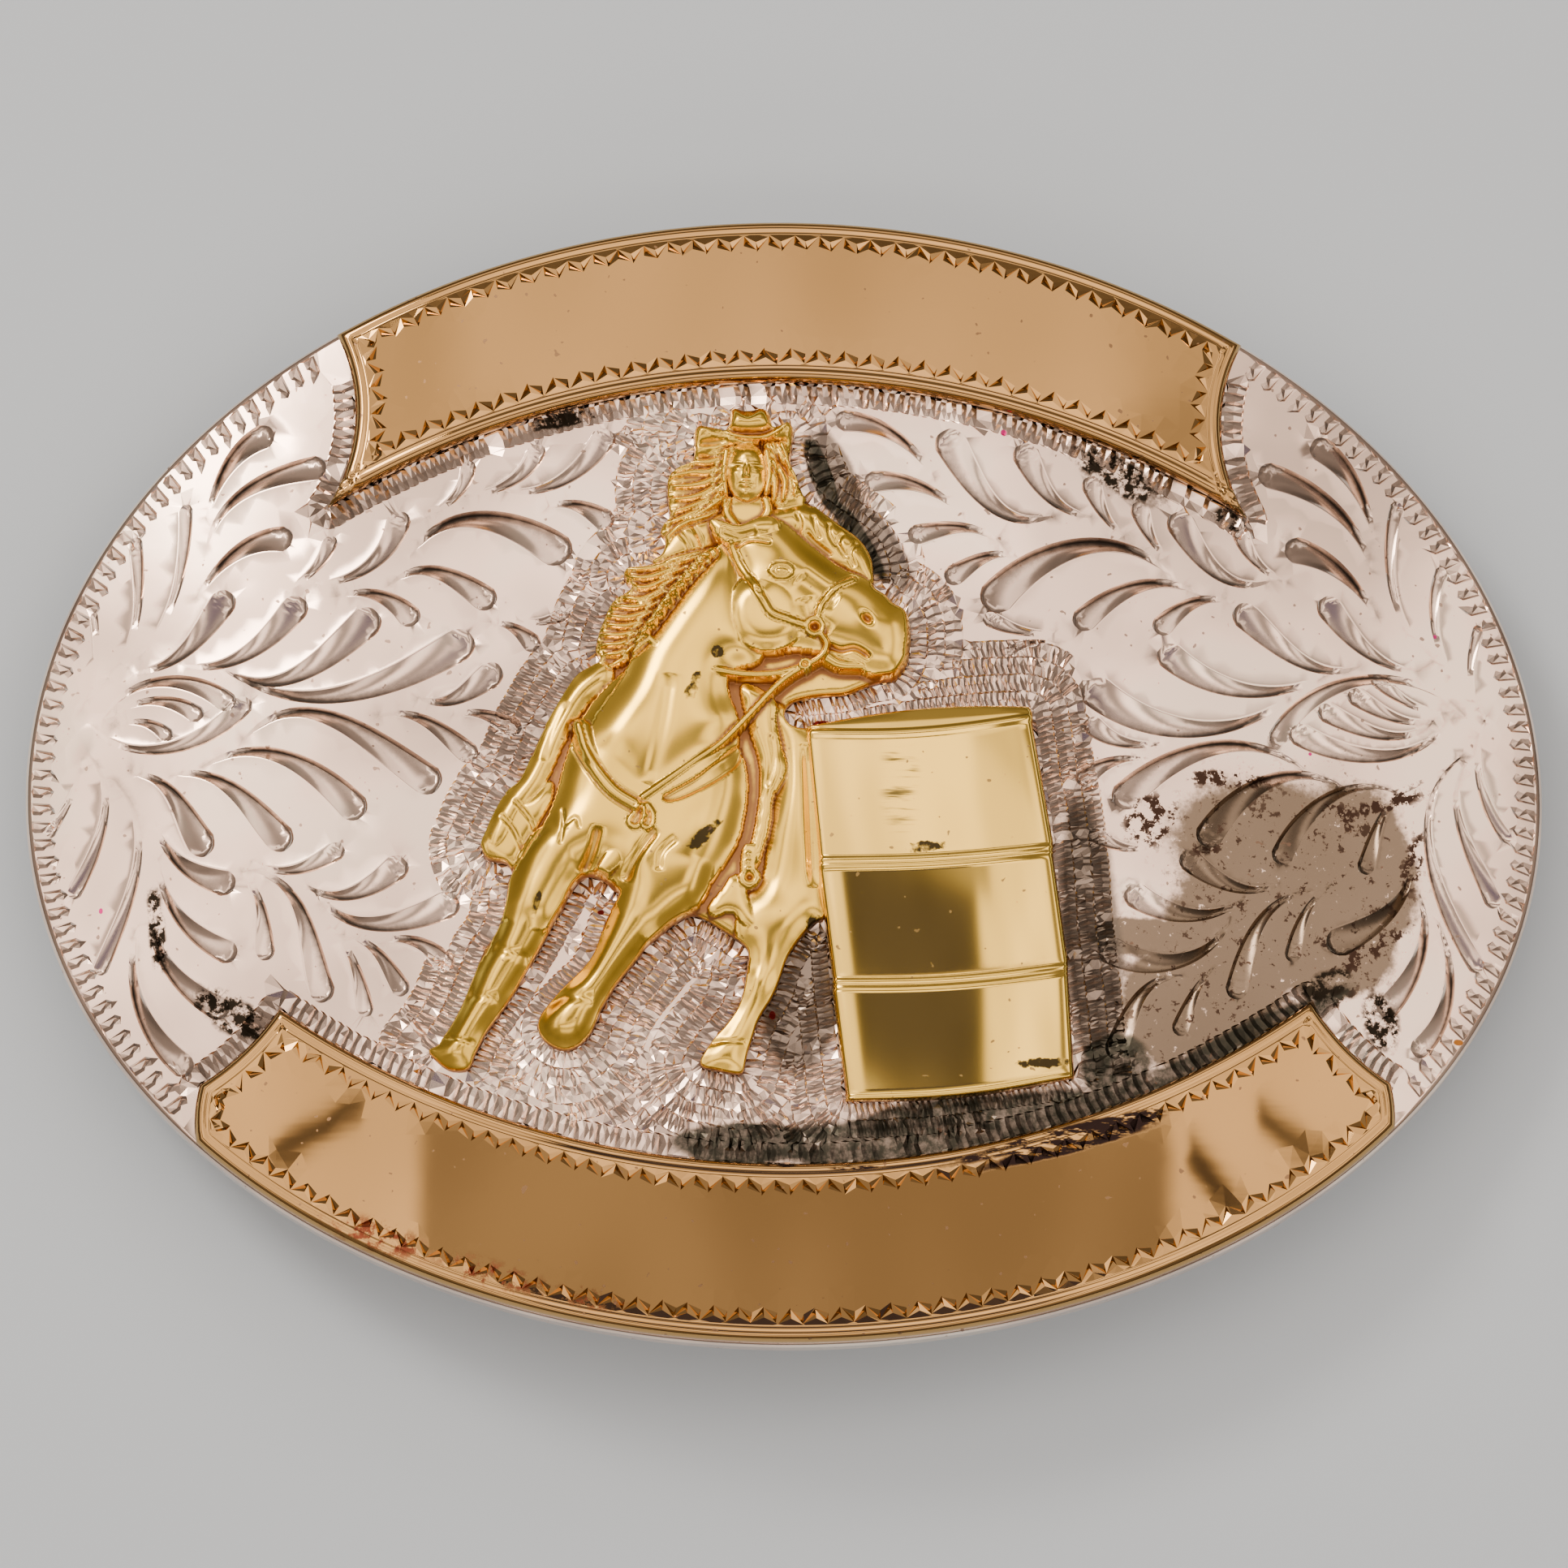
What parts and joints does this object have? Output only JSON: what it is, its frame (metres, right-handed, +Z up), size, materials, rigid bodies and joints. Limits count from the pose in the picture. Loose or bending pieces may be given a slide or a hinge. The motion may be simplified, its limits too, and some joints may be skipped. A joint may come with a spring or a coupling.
{
  "type": "western trophy buckle",
  "caption": "Domed oval trophy belt buckle with engraved plate, two band overlays, a raised barrel racing figure, a belt loop and a hook.",
  "frame": {"origin": "centre of the part's footprint on the surface that it lies on, face up", "axes": "+X to the right of the face, +Y to the top of the face, +Z up, out of the face"},
  "size_m": [0.1016, 0.0762, 0.0173],
  "materials": {
    "nickel_silver": "polished nickel silver with bright-cut engraving, wriggle-cut ground and brown and black tarnish",
    "jewellers_bronze": "polished reddish gold sheet with a wriggle-cut border and fine scratches",
    "brass": "stamped yellow brass, polished high spots, brown patina in the recesses",
    "back_wire": "plain drawn nickel silver wire, dull, with solder at the feet"
  },
  "bodies": {
    "root": {"plate": "nickel_silver", "top_banner": "jewellers_bronze", "bottom_banner": "jewellers_bronze", "barrel_racer": "brass", "belt_loop": "back_wire", "belt_hook": "back_wire"}
  },
  "joints": []
}
